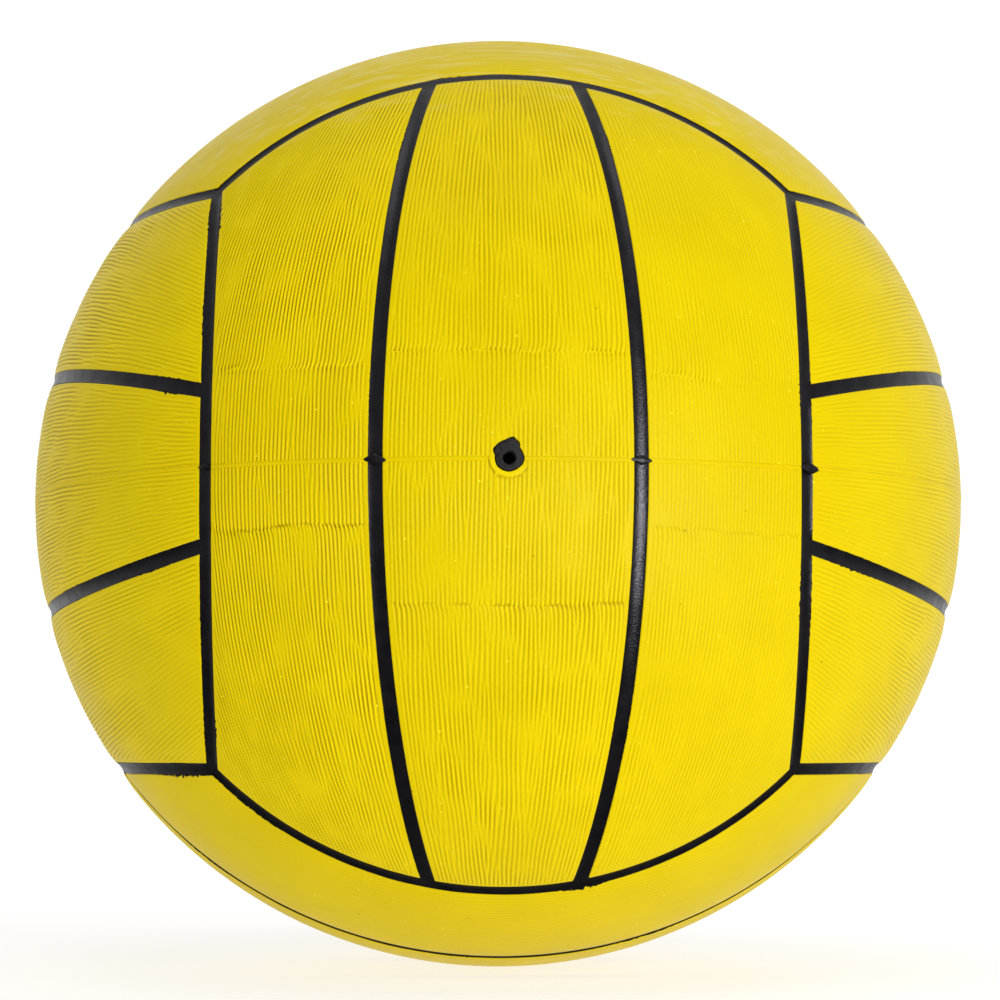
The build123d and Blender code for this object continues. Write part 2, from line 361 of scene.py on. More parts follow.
def panel_relief(face, side, across, along):
    """Height over the ball, share for the painted ridge shade from 0 to 1, and channel gap at each point."""
    out = outward(face, across, along)
    level = BALL_RADIUS * out[..., 2]
    gap = gap_to_channels(across, along, side)
    seed = 10 * list(FACES).index(face) + side + 1
    pitch, depth = PITCH_AND_DEPTH[face][side + 1]
    strength = ridge_strength(face, depth, out, seed)
    if face in BANDED_FACES:
        crest, change, ledge = band_relief(side, across, along, out, pitch * MM, seed)
        strength = strength * change
    else:
        crest = ridges(across, along, side * PANEL_MIDDLE, pitch * MM, seed + RIDGE_SEED)
        ledge = 0
    fade = eased(gap, *MARGIN) * eased(np.abs(level), *SEAM_CLEAR)
    share = MEAN_SHARE + fade * (np.sin(np.pi / 4 * (1 + crest)) - MEAN_SHARE)
    height = RIDGE_HEIGHT * strength * (share - 1) - ledge * fade
    height = height - CROWN_DROP * np.exp(-((gap / CROWN_REACH) ** 2))
    height = height + seam_height(level) * eased(gap, 0, MARGIN[0])
    return height, MEAN_SHARE + strength * (share - MEAN_SHARE), gap


print("beside a channel the skin drops by", CROWN_DROP / MM, "mm")

# %% [markdown]
# ## Where paint has strayed
# The black lines were painted by hand, and in a few places the paint ran over the rim. Each spot is a
# place on the ball and a reach, in millimetres, as seen in the photograph. Elsewhere only a little
# paint has strayed.

# %% Spots of strayed paint
RAGGED_SPOTS = (
    (-58, -73, 58, 6),
    (-57, -74, -58, 6),
    (-68, -52, -69, 7),
    (-73, -81, 13, 4),
    (-74, -76, -29, 7),
    (73, -77, -28, 7),
    (56, -90, -28, 7),
    (57, -93, 16, 6),
    (17, -62, -89, 3),
)
SPOT_GAIN = 1.7
STRAY_SHARE, STRAY_SIZE, STRAY_SEED = 0.2, 0.11, 5


def paint_spill(out):
    """How much paint has strayed over a channel's rim, from 0 to 1, by the way out of the ball."""
    spill = STRAY_SHARE * eased(patches(out, STRAY_SIZE, STRAY_SEED), 0.5, 1.0)
    for x, y, z, reach in RAGGED_SPOTS:
        away = np.linalg.norm(out * BALL_RADIUS - np.array((x, y, z)) * MM, axis=-1)
        spill = np.maximum(spill, SPOT_GAIN * np.exp(-((away / (reach * MM)) ** 2)))
    return np.minimum(spill, 1)


print(len(RAGGED_SPOTS), "spots of strayed paint")

# %% [markdown]
# ## Closed sheets
# Every panel and every black line is a thin closed sheet: a fine grid outside, a coarse one under it,
# and a wall round the rim. An operator makes the grids, and the coarse one saves triangles where nobody
# looks. Bridging two rims with different counts of corners can twist the wall, so it is stitched here,
# like a zip whose halves differ in teeth. Each corner also remembers a few facts that the finish needs
# later, such as how far it is from a channel and how high on its ridge.

# %% Sheets from two grids
def lay_grid(mesh, points, facts=None):
    """Adds a grid whose corners lie on a table of points, with the facts for its layers."""
    rows, columns = points.shape[:2]
    facts = facts or {}
    for name in facts:
        mesh.verts.layers.float.new(name)
    corners = bmesh.ops.create_grid(mesh, x_segments=columns - 1, y_segments=rows - 1, size=1.0)["verts"]
    for corner, point in zip(corners, points.reshape(-1, 3)):
        corner.co = point
    for name, values in facts.items():
        layer = mesh.verts.layers.float[name]
        for corner, value in zip(corners, np.ravel(values)):
            corner[layer] = value
    return corners


def open_rim(mesh):
    """Edges with a face on one side only."""
    return [edge for edge in mesh.edges if edge.is_boundary]


def grid_sides(corners, points):
    """Corners of a grid along each of its four sides."""
    table = np.array(corners, dtype=object).reshape(points.shape[:2])
    return table[0], table[-1], table[:, 0], table[:, -1]


print("a panel's underside lies", COVER_THICKNESS / MM, "mm down")

# %% Walls and finished pieces
def stitch(mesh, run, under_run):
    """Fills the strip between two runs of corners with triangles, each across its shorter side."""
    run, under_run = list(run), list(under_run)
    while len(run) + len(under_run) > 2:
        ahead = (run[1].co - under_run[0].co).length if len(run) > 1 else math.inf
        below = (run[0].co - under_run[1].co).length if len(under_run) > 1 else math.inf
        longer_run = run if ahead <= below else under_run
        mesh.faces.new((run[0], under_run[0], longer_run[1]))
        longer_run.pop(0)


def wall_round(mesh, sides, under_sides):
    """Stitches the sides of a grid to those of the grid under it."""
    for side, under_side in zip(sides, under_sides):
        stitch(mesh, side, under_side)


def placed(name, data):
    """A new object in the scene that shows some data."""
    made = bpy.data.objects.new(name, data)
    bpy.context.scene.collection.objects.link(made)
    return made


def finished(mesh, name, body, node=None):
    """Turns a bmesh into a smooth piece that rides on a body and stands for a CAD node."""
    bmesh.ops.recalc_face_normals(mesh, faces=mesh.faces)
    for face in mesh.faces:
        face.smooth = True
    data = bpy.data.meshes.new(name)
    mesh.to_mesh(data)
    mesh.free()
    piece = placed(name, data)
    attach(piece, body)
    if node:
        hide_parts(node)
    return piece


# %% [markdown]
# ## Panels
# Seventeen of the eighteen panels differ only in their place and in the draw of their ridges, so one
# loop makes them. The front is seen closest and gets the finest grid, with six to eight lines to a
# ridge. The eighteenth panel, with the valve, follows in a step of its own.

# %% Counts and stops of the grids
COLUMNS = {
    "front": (351, 331, 351),
    "back": (221, 241, 221),
    "left": (281, 295, 281),
    "right": (281, 295, 281),
    "top": (161, 221, 161),
    "bottom": (161, 221, 161),
}
ROWS = {"front": 251, "back": 163, "left": 151, "right": 151, "top": 121, "bottom": 121}
UNDER_CELLS = 22
SEAM_CROWD = (0.0, 7.0, 0.012)
FLANK_SEAM_CROWD = (0.0, 1.6, 0.035)
STEP_CROWD = (2.5, 0.025)
PANEL_END = FACE_TURN - CHANNEL_WIDTH / 2 / BALL_RADIUS


def band_crowds(side):
    """Crowds of rows at the mould seam and at the two steps of the band about it."""
    steps = [(math.asin(edge / BALL_RADIUS) / PANEL_END, *STEP_CROWD) for edge in BAND_EDGES[side]]
    return [SEAM_CROWD] + steps


def panel_stops(face, side):
    """Grid stops of a panel, crowded where the mould seam crosses it or runs along it."""
    along_seam = face in FLANKS and side == 0
    columns = stops(COLUMNS[face][side + 1], [FLANK_SEAM_CROWD] if along_seam else [])
    rows = stops(ROWS[face], band_crowds(side) if face in BANDED_FACES else [])
    return columns, rows


def under_grid(face, side):
    """Coarse grid for the underside of a panel."""
    plain = np.linspace(0, 1, UNDER_CELLS + 1)
    line = (plain * 0, plain, plain * 0)
    across, along, _ = spread_panel(side, line, line)
    return (BALL_RADIUS - COVER_THICKNESS) * outward(face, across, along)


print("front middle panel:", COLUMNS["front"][1], "by", ROWS["front"], "lines")

# %% Seventeen plain panels
def skin_of(face, side, across, along, drop):
    """Points of a panel's skin and the facts that its finish needs."""
    height, share, gap = panel_relief(face, side, across, along)
    out = outward(face, across, along)
    points = (BALL_RADIUS + height - drop)[..., None] * out
    return points, {"channel_gap": gap / MM, "ridge_shade_share": share, "paint_spill": paint_spill(out)}


def build_panel(face, side, name):
    """One plain panel of a face."""
    mesh = bmesh.new()
    across, along, drop = spread_panel(side, *panel_stops(face, side))
    points, facts = skin_of(face, side, across, along, drop)
    under = under_grid(face, side)
    sides = grid_sides(lay_grid(mesh, points, facts), points)
    wall_round(mesh, sides, grid_sides(lay_grid(mesh, under), under))
    return finished(mesh, name + "_skin", "ball", name)


VALVE_FACE = "front"
panels = []
for face, (_, _, side_names) in FACES.items():
    for side, side_name in zip(SIDES, side_names):
        if (face, side) != (VALVE_FACE, 0):
            panels.append(build_panel(face, side, f"{face}_panel_{side_name}"))
print(len(panels), "panels,", sum(len(p.data.polygons) for p in panels), "faces")

# %% [markdown]
# ## The panel with the valve
# Round the valve the yellow rubber was trimmed by hand, so the hole is no circle: it has a point at the
# top, a notch beside it and a low smooth lip below. Instead of cutting it with a boolean, the square
# grid is drawn into rings about the valve, a block of cells is deleted, and the rim that is left
# already follows the ragged outline. It is then extruded down to the rubber below.

# %% Ragged hole for the valve
PLUG_OUTLINE = (
    (0.9, 4.35), (1.6, 3.65), (2.15, 3.1), (2.2, 2.1), (2.75, 1.1), (3.1, 0.0),
    (2.75, -1.1), (2.05, -1.85), (1.1, -2.4), (0.0, -2.7), (-1.0, -2.5), (-2.4, -1.5),
    (-2.75, -0.4), (-2.75, 0.6), (-3.2, 1.85), (-2.6, 2.55), (-1.75, 3.25), (-0.7, 3.7),
)
OUTLINE_TURNS = np.array([math.atan2(z, x) for x, z in PLUG_OUTLINE])
OUTLINE_RADII = np.array([math.hypot(x, z) for x, z in PLUG_OUTLINE]) * MM
PLUG_GAP = 0.12 * MM
HOLE_BLOCK = 3.2 * MM
RING_REACH = 9.0 * MM
LIP_RADIUS = 4.15 * MM
LIP_EDGE = (-0.3 * MM, 0.1 * MM)
LIP_GROOVE_WIDTH = 0.18 * MM
LIP_BELOW, LIP_SLANT = 1.7 * MM, 0.25


def plug_radius(turn):
    """Radius of the plug's ragged head, by the turn about the valve from +X towards +Z."""
    order = np.argsort(OUTLINE_TURNS)
    return np.interp(turn, OUTLINE_TURNS[order], OUTLINE_RADII[order], period=2 * np.pi)


def drawn_into_rings(points, block_x, block_z):
    """Moves points near the valve so that the grid's square rings become rings about the ragged hole."""
    x, z = points[..., 0], points[..., 2]
    shares = np.abs(x) / block_x, np.abs(z) / block_z
    square = np.maximum(*shares) * HOLE_BLOCK
    rounded = (shares[0] ** 4 + shares[1] ** 4) ** 0.25 * HOLE_BLOCK
    ring = square + (rounded - square) * eased(square, HOLE_BLOCK, 2 * HOLE_BLOCK)
    turn = np.arctan2(z, x)
    plain = np.hypot(x, z)
    wanted = plug_radius(turn) + PLUG_GAP + ring - HOLE_BLOCK
    pull = 1 - eased(ring, HOLE_BLOCK, RING_REACH)
    radius = np.where(plain > 0, plain + (wanted - plain) * pull, 0)
    return radius * np.cos(turn), radius * np.sin(turn), ring


def lip(x, z):
    """Share of the smooth lip under the valve, and of the fine groove at its outer edge."""
    radius = np.hypot(x, z)
    below = eased(-z - LIP_SLANT * x, 0, LIP_BELOW)
    smooth = 1 - eased(radius - LIP_RADIUS, *LIP_EDGE)
    groove = np.exp(-(((radius - LIP_RADIUS) / LIP_GROOVE_WIDTH) ** 2))
    return below * smooth, below * groove


print("plug outline has", len(PLUG_OUTLINE), "points")

# %% Build the valve panel
VALVE_CROWD = (0.0, 2.0, 0.075)
VALVE_ROWS = 261
LIP_HEIGHT = 0.3 * MM
LIP_GROOVE = 0.2 * MM
LIP_SHARE, GROOVE_SHADE = 0.8, 0.7
JUST_OVER, JUST_UNDER = 1.0001, 0.999


def build_valve_panel():
    """The front middle panel, open at the valve."""
    mesh = bmesh.new()
    rows = stops(VALVE_ROWS, band_crowds(0) + [VALVE_CROWD])
    across, along, drop = spread_panel(0, stops(COLUMNS[VALVE_FACE][1]), rows)
    flat = BALL_RADIUS * outward(VALVE_FACE, across, along)
    middle_row, middle_column = flat.shape[0] // 2, flat.shape[1] // 2
    lines_x = np.abs(flat[middle_row, :, 0])
    lines_z = np.abs(flat[:, middle_column, 2])
    block_x = lines_x[lines_x >= HOLE_BLOCK].min() * JUST_OVER
    block_z = lines_z[lines_z >= HOLE_BLOCK].min() * JUST_OVER
    x, z, ring = drawn_into_rings(flat, block_x, block_z)
    near = ring < RING_REACH
    along = np.where(near, np.arcsin(z / BALL_RADIUS), along)
    across = np.where(near, np.arcsin(np.clip(x / (BALL_RADIUS * np.cos(along)), -1, 1)), across)
    points, facts = skin_of(VALVE_FACE, 0, across, along, drop)
    radius = np.linalg.norm(points, axis=-1)
    smooth, groove = (np.where(near, share, 0) for share in lip(x, z))
    radius += smooth * (BALL_RADIUS + LIP_HEIGHT - radius) - groove * LIP_GROOVE
    # The groove at the lip's edge is darkened with painted shade, and the smooth lip is left nearly free of
    # the painted ridge shade.
    shade = smooth * (LIP_SHARE - facts["ridge_shade_share"]) - groove * GROOVE_SHADE * facts["ridge_shade_share"]
    facts["ridge_shade_share"] += shade
    facts["hole_ring"] = ring / MM
    corners = lay_grid(mesh, radius[..., None] * outward(VALVE_FACE, across, along), facts)
    sides = grid_sides(corners, points)
    ring_layer = mesh.verts.layers.float["hole_ring"]
    inside = [corner for corner in corners if corner[ring_layer] < HOLE_BLOCK / MM * JUST_UNDER]
    outer_rim = set(open_rim(mesh))
    bmesh.ops.delete(mesh, geom=inside, context="VERTS")
    hole_rim = [edge for edge in open_rim(mesh) if edge not in outer_rim]
    return mesh, sides, hole_rim


valve_mesh, valve_sides, hole_rim = build_valve_panel()
print("valve panel:", len(valve_mesh.verts), "corners,", len(hole_rim), "edges round the hole")

# %% Close the valve panel
WELL_FLOOR = BALL_RADIUS - COVER_THICKNESS
WELL_REACH = 7.0 * MM


def close_valve_panel(mesh, sides, hole_rim, name):
    """Walls the valve's hole and the rim of its panel, down to an underside that is open at the valve."""
    drawn = bmesh.ops.extrude_edge_only(mesh, edges=hole_rim)["geom"]
    for corner in [part for part in drawn if isinstance(part, bmesh.types.BMVert)]:
        corner.co *= WELL_FLOOR / corner.co.length
    under = under_grid(VALVE_FACE, 0)
    under_corners = lay_grid(mesh, under)
    wall_round(mesh, sides, grid_sides(under_corners, under))
    cells = {cell for corner in under_corners for cell in corner.link_faces if cell.is_valid}
    at_valve = [cell for cell in cells if cell.calc_center_median().xz.length < WELL_REACH]
    bmesh.ops.delete(mesh, geom=at_valve, context="FACES")
    bmesh.ops.bridge_loops(mesh, edges=open_rim(mesh))
    return finished(mesh, name + "_skin", "ball", name)


panels.append(close_valve_panel(valve_mesh, valve_sides, hole_rim, "front_panel_middle"))
print("valve panel closed,", len(panels[-1].data.polygons), "faces")

# %% [markdown]
# ## Black lines
# Black rubber paint lies in each channel, hollow like a gutter because it drew up at the walls while it
# dried. An inner line follows its great circle to the panels' ends. A line along a face's long edge
# follows its smaller circle and is mitred at both ends, because three of them meet in a corner.

# %% Routes of the black lines
MITRE_LEAN = math.atan(0.5)
LINE_ROUNDS = 12


def inner_line(face, side, offsets, shares):
    """Directions along an inner channel."""
    along = np.zeros((len(shares), len(offsets)))
    for _ in range(LINE_ROUNDS):
        across = beside_line(along, side, offsets)
        along = shares[:, None] * before_end(across, 0)
    return outward(face, across, along)


def edge_line(face, side, offsets, shares):
    """Directions along the channel at a face's long edge, between its mitred ends."""
    sideways, lengthways = axes_of(face)
    cone = FACE_TURN + offsets / BALL_RADIUS
    slope = 1 / (math.sqrt(5) * np.tan(cone))
    reach = np.minimum(np.arccos(slope) - MITRE_LEAN, np.arcsin(slope) + MITRE_LEAN)
    turn = shares[:, None] * reach
    about = np.cos(turn)[..., None] * np.cross(sideways, lengthways) + np.sin(turn)[..., None] * lengthways
    return np.cos(cone)[:, None] * side * sideways + np.sin(cone)[:, None] * about


def line_ends():
    """Directions of all places where one black line runs into others."""
    both = np.array([-1.0, 1.0])
    ends = [inner_line(face, side, np.zeros(1), both)[:, 0] for face in FACES for side in (-1, 1)]
    corners = np.array([(x, y, z) for x in (-1, 1) for y in (-1, 1) for z in (-1, 1)]) / math.sqrt(3)
    return np.concatenate(ends + [corners])


JOINS = line_ends()
print("black lines join in", len(JOINS), "places")

# %% [markdown]
# ## Strips of paint
# Each line is a closed strip, a fine grid over a coarse one. Near a join the paint doesn't draw up, so
# the lines run into each other on one level. The rim of the strip is marked sharp: otherwise smooth
# shading would round it off and draw a false crease across every join.

# %% Twenty-four black lines
STRIP_HALF_WIDTH = CHANNEL_WIDTH / 2 - 0.02 * MM
STRIP_COLUMNS, STRIP_ROWS = 13, 151
STRIP_UNDER_COLUMNS, STRIP_UNDER_ROWS = 3, 31
COAT_DIP = 0.2 * MM
COAT_CLIMB = 0.1 * MM
COAT_HOLLOW = 2.2
COAT_WAVES, COAT_WAVE_SIZE, COAT_SEED = 0.04 * MM, 0.03, 11
JOIN_REACH = (1.4 * MM, 3.2 * MM)


def coat_height(offsets, out):
    """Height of the paint over the floor of its channel."""
    to_join = BALL_RADIUS * np.linalg.norm(out[..., None, :] - JOINS, axis=-1).min(axis=-1)
    rise = np.abs(offsets / STRIP_HALF_WIDTH) ** COAT_HOLLOW * eased(to_join, *JOIN_REACH)
    waves = COAT_WAVES * patches(out, COAT_WAVE_SIZE, COAT_SEED)
    return (COAT_DIP + COAT_CLIMB) * rise - COAT_DIP + waves


def build_line(route, face, side, name):
    """One black line, as a closed strip on the floor of its channel."""
    mesh = bmesh.new()
    offsets = STRIP_HALF_WIDTH * np.sin(np.linspace(-np.pi / 2, np.pi / 2, STRIP_COLUMNS))
    out = route(face, side, offsets, np.linspace(-1, 1, STRIP_ROWS))
    radius = BALL_RADIUS - CHANNEL_DEPTH + coat_height(offsets, out)
    sides = grid_sides(lay_grid(mesh, radius[..., None] * out), out)
    under_offsets = np.linspace(-STRIP_HALF_WIDTH, STRIP_HALF_WIDTH, STRIP_UNDER_COLUMNS)
    under = route(face, side, under_offsets, np.linspace(-1, 1, STRIP_UNDER_ROWS))
    under_sides = grid_sides(lay_grid(mesh, (BALL_RADIUS - COVER_THICKNESS) * under), under)
    for edge in open_rim(mesh):
        edge.smooth = False
    wall_round(mesh, sides, under_sides)
    return finished(mesh, name + "_coat", "ball", name)


lines = []
for face, (_, _, side_names) in FACES.items():
    for side in (-1, 1):
        side_name = side_names[side + 1]
        lines.append(build_line(inner_line, face, side, f"{face}_channel_inner_{side_name}"))
        lines.append(build_line(edge_line, face, side, f"{face}_channel_edge_{side_name}"))
print(len(lines), "black lines,", sum(len(line.data.polygons) for line in lines), "faces")

# %% [markdown]
# ## Flash at the mould seam
# Where the seam crosses a black line, a little rubber was squeezed out between the mould's halves and
# painted black with the line. It is a flat, pointed blob. An icosphere drawn out to a point at both
# ends is enough, with its own draw of unevenness at each of the eight crossings.

# %% Eight blobs of flash
FLASHES = {
    "front_flash_edge_left": (1.9, 0.7, 0.0),
    "front_flash_inner_left": (2.8, 1.25, 0.0),
    "front_flash_inner_right": (2.8, 1.0, 0.0),
    "front_flash_edge_right": (3.2, 1.35, 0.7),
    "back_flash_edge_left": (2.2, 0.9, 0.2),
    "back_flash_inner_left": (2.5, 0.8, 0.0),
    "back_flash_inner_right": (2.7, 0.9, -0.2),
    "back_flash_edge_right": (2.6, 0.85, 0.3),
}
FLASH_THICKNESS = 0.5 * MM
FLASH_SINK = 0.25 * MM
FLASH_BEND, FLASH_BENDS = 0.1, 3


def build_flash(name, half_length, half_height, shift):
    """Pointed blob of black flash where the line that its name speaks of crosses the mould seam."""
    face, _, kind, side_name = name.split("_")
    route = edge_line if kind == "edge" else inner_line
    side = -1 if side_name == "left" else 1
    out = Vector(route(face, side, np.zeros(1), np.zeros(1))[0, 0])
    up = Vector((0, 0, 1))
    level = up.cross(out)
    mesh = bmesh.new()
    bmesh.ops.create_icosphere(mesh, subdivisions=4, radius=1.0)
    for corner in mesh.verts:
        slim = math.sqrt((1 - abs(corner.co.x)) / (1 + abs(corner.co.x)))
        bend = FLASH_BEND * math.sin(FLASH_BENDS * corner.co.x + half_length)
        corner.co.y = corner.co.y * slim + bend
        corner.co.z *= slim
    bmesh.ops.scale(mesh, vec=(half_length * MM, half_height * MM, FLASH_THICKNESS), verts=mesh.verts)
    turned = Matrix((level, up, out)).transposed().to_4x4()
    bmesh.ops.transform(mesh, matrix=turned, verts=mesh.verts)
    place = out * (BALL_RADIUS - FLASH_SINK) + level * shift * MM
    bmesh.ops.translate(mesh, vec=place, verts=mesh.verts)
    return finished(mesh, name, "ball", None)


flashes = [build_flash(name, *choices) for name, choices in FLASHES.items()]
print(len(flashes), "blobs of flash")

# %% [markdown]
# ## Valve plug
# The plug is a rubber pin with a blind hole for the inflating needle. Its shape is turned, so a half
# section, which runs from the bottom of the needle's hole over the head to the tip, is spun about the
# valve's axis. Only its head isn't round: it fills the ragged hole, so the head's rings are then drawn
# out to the same outline.

# %% Spin the plug
plug_low, plug_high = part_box("valve_plug")
HEAD_TOP = -plug_low.y
SHANK_END = -plug_high.y
HEAD_THICKNESS = 1.5 * MM
SEAT_TOP = HEAD_TOP - HEAD_THICKNESS
HEAD_RADIUS = plug_high.x
SHANK_RADIUS = 2.5 * MM
TIP_CHAMFER = 0.8 * MM
NEEDLE_RADIUS = 1.2 * MM
NEEDLE_DEPTH = 8.0 * MM
MOUTH = 0.35 * MM
MOUTH_RING = 0.1 * MM
HEAD_ROUND = 0.45 * MM
HEAD_RINGS = 7
HEAD_CHAMFER, HEAD_GAP = 0.1 * MM, 0.02 * MM
SPIN_STEPS = 120

head_rings = np.linspace(NEEDLE_RADIUS + MOUTH, HEAD_RADIUS - HEAD_ROUND, HEAD_RINGS)
half_section = [(0, HEAD_TOP - NEEDLE_DEPTH), (NEEDLE_RADIUS, HEAD_TOP - NEEDLE_DEPTH)]
half_section += [(NEEDLE_RADIUS, HEAD_TOP - 2 * MOUTH), (NEEDLE_RADIUS, HEAD_TOP - MOUTH)]
half_section += [(r, HEAD_TOP - MOUTH_RING * eased(r, head_rings[1], head_rings[3])) for r in head_rings]
for turn in np.radians((30, 60, 90)):
    reach = HEAD_ROUND * math.sin(turn)
    half_section.append((head_rings[-1] + reach, HEAD_TOP - MOUTH_RING - HEAD_ROUND * (1 - math.cos(turn))))
half_section += [(HEAD_RADIUS, SEAT_TOP + HEAD_CHAMFER), (HEAD_RADIUS - HEAD_CHAMFER, SEAT_TOP + HEAD_GAP)]
half_section += [(SHANK_RADIUS, SEAT_TOP + HEAD_GAP), (SHANK_RADIUS, SHANK_END + TIP_CHAMFER)]
half_section += [(SHANK_RADIUS - TIP_CHAMFER, SHANK_END), (0, SHANK_END)]

plug_mesh = bmesh.new()
corners = [plug_mesh.verts.new((r, -h, 0)) for r, h in half_section]
edges = [plug_mesh.edges.new(pair) for pair in zip(corners, corners[1:])]
spin = {"cent": (0, 0, 0), "axis": (0, 1, 0), "angle": 2 * math.pi, "steps": SPIN_STEPS}
bmesh.ops.spin(plug_mesh, geom=corners + edges, use_merge=True, **spin)
bmesh.ops.remove_doubles(plug_mesh, verts=plug_mesh.verts, dist=0.001 * MM)
print("half section has", len(half_section), "points,", len(plug_mesh.verts), "corners when spun")

# %% Draw the head out to its outline
HEAD_GRAIN, HEAD_GRAIN_SIZE, HEAD_SEED = 0.05 * MM, 0.0012, 7
fixed = head_rings[1]
for corner in plug_mesh.verts:
    radius = math.hypot(corner.co.x, corner.co.z)
    if corner.co.y < -SEAT_TOP and radius > fixed:
        turn = math.atan2(corner.co.z, corner.co.x)
        wanted = fixed + (radius - fixed) * (plug_radius(turn) - fixed) / (HEAD_RADIUS - fixed)
        corner.co.x *= wanted / radius
        corner.co.z *= wanted / radius
        corner.co.y += HEAD_GRAIN * patches(np.array(corner.co), HEAD_GRAIN_SIZE, HEAD_SEED)
valve_plug = finished(plug_mesh, "valve_plug_pin", "valve_plug", "valve_plug")
print("valve plug:", len(valve_plug.data.polygons), "faces")

# %% [markdown]
# ## Node trees in few words
# Written out in full, the nodes and links of a finish would bury its idea, so a few helpers shorten it.
# One adds a node and fills or links its inputs by name. The others are the steps that come again and
# again: a sum, a stretched range, a cloud of noise, a mix of colours.

# %% Helpers for node trees
def add_node(tree, kind, inputs=None, **settings):
    """Adds a node, sets its choices, and links or fills its inputs."""
    made = tree.nodes.new(kind)
    for name, value in settings.items():
        setattr(made, name, value)
    for name, value in (inputs or {}).items():
        if isinstance(value, bpy.types.NodeSocket):
            tree.links.new(value, made.inputs[name])
        else:
            made.inputs[name].default_value = value
    return made


def reckoned(tree, operation, *values):
    """Result of one sum on numbers or sockets."""
    return add_node(tree, "ShaderNodeMath", dict(enumerate(values)), operation=operation).outputs[0]


def stretched(tree, value, ends, new_ends):
    """A value taken from one range to another, and held at its ends."""
    inputs = {"Value": value}
    inputs["From Min"], inputs["From Max"] = ends
    inputs["To Min"], inputs["To Max"] = new_ends
    return add_node(tree, "ShaderNodeMapRange", inputs).outputs["Result"]


def here(tree):
    """Place on the piece, in metres."""
    return add_node(tree, "ShaderNodeTexCoord").outputs["Object"]


def cloud(tree, size, detail):
    """Noise from 0 to 1, with clouds of a size in metres."""
    inputs = {"Vector": here(tree), "Scale": reckoned(tree, "DIVIDE", 1.0, size), "Detail": detail}
    return add_node(tree, "ShaderNodeTexNoise", inputs).outputs["Fac"]


def mixed(tree, share, first, second, way="MIX"):
    """Colour that goes from the first to the second with a share."""
    inputs = {"Factor": share, 6: first, 7: second}
    return add_node(tree, "ShaderNodeMix", inputs, data_type="RGBA", blend_type=way).outputs[2]


print("node groups so far:", len(bpy.data.node_groups))

# %% [markdown]
# ## Effects that finishes share
# Pigment never spreads quite evenly, moulded rubber has raised grains and pits, and no surface here is
# as smooth as glass. Each of these is a node group with named inputs, built once, so that every material
# can use it at its own scale: clouds of noise for the tint and the grain, and Voronoi points for the
# specks, which the yellow rubber uses as painted glints on its grains and painted shade in its pits. A
# group hands out plain numbers and colours, and the shader stays in the material.

# %% Helpers for groups
NUMBER, COLOUR = "NodeSocketFloat", "NodeSocketColor"


def new_group(name, inputs, outputs):
    """An empty group with number inputs, and outputs that are numbers or colours."""
    tree = bpy.data.node_groups.new(name, "ShaderNodeTree")
    for label, value in inputs.items():
        tree.interface.new_socket(label, in_out="INPUT", socket_type=NUMBER).default_value = value
    for label, kind in outputs.items():
        tree.interface.new_socket(label, in_out="OUTPUT", socket_type=kind)
    return tree, tree.nodes.new("NodeGroupInput").outputs, tree.nodes.new("NodeGroupOutput").inputs


def from_group(tree, group, **inputs):
    """Outputs of a group that is placed in a tree with values of its own."""
    return add_node(tree, "ShaderNodeGroup", inputs, node_tree=group).outputs


print("kinds of socket:", NUMBER, COLOUR)

# %% Groups for uneven tint and for grain
tint_group, given, wanted = new_group("uneven_tint", {"Patch": 0.03}, {"Tint": NUMBER})
tint = stretched(tint_group, cloud(tint_group, given["Patch"], 3.0), (0.3, 0.7), (0.0, 1.0))
tint_group.links.new(tint, wanted["Tint"])

grain_group, given, wanted = new_group("grain", {"Grain": 0.0004}, {"Height": NUMBER})
grain_group.links.new(cloud(grain_group, given["Grain"], 2.0), wanted["Height"])
print("groups:", tint_group.name, grain_group.name)

# %% Group for specks
speck_inputs = {"Spacing": 0.004, "Size": 0.1, "Rarity": 0.5}
speck_group, given, wanted = new_group("specks", speck_inputs, {"Mask": NUMBER})
per_metre = reckoned(speck_group, "DIVIDE", 1.0, given["Spacing"])
cells = add_node(speck_group, "ShaderNodeTexVoronoi", {"Vector": here(speck_group), "Scale": per_metre})
lots = add_node(speck_group, "ShaderNodeSeparateColor", {"Color": cells.outputs["Color"]}).outputs
spread = stretched(speck_group, lots[1], (0.0, 1.0), (0.5, 1.2))
size = reckoned(speck_group, "MULTIPLY", given["Size"], spread)
near = reckoned(speck_group, "LESS_THAN", cells.outputs["Distance"], size)
chosen = reckoned(speck_group, "GREATER_THAN", lots[0], given["Rarity"])
speck_group.links.new(reckoned(speck_group, "MULTIPLY", near, chosen), wanted["Mask"])
print("group:", speck_group.name)

# %% [markdown]
# ## Black paint
# The lines are a black rubber paint that was brushed into the channels. It is slightly grainy and a
# little patchy in its gloss. The same paint has strayed over the rims onto the yellow, so its colour,
# roughness and grain are one group that both finishes use.

# %% Group for black paint
PAINT_DEEP, PAINT_THIN = (0.003, 0.003, 0.004, 1), (0.008, 0.007, 0.008, 1)
PAINT_ROUGHNESS = (0.28, 0.36)

paint_group, given, wanted = new_group(
    "black_paint", {"Grain": 0.0005}, {"Colour": COLOUR, "Roughness": NUMBER, "Height": NUMBER}
)
tint = from_group(paint_group, tint_group, Patch=0.004)["Tint"]
grain = from_group(paint_group, grain_group, Grain=given["Grain"])["Height"]
paint_group.links.new(mixed(paint_group, tint, PAINT_DEEP, PAINT_THIN), wanted["Colour"])
paint_group.links.new(stretched(paint_group, tint, (0.0, 1.0), PAINT_ROUGHNESS), wanted["Roughness"])
paint_group.links.new(grain, wanted["Height"])
print("group:", paint_group.name)
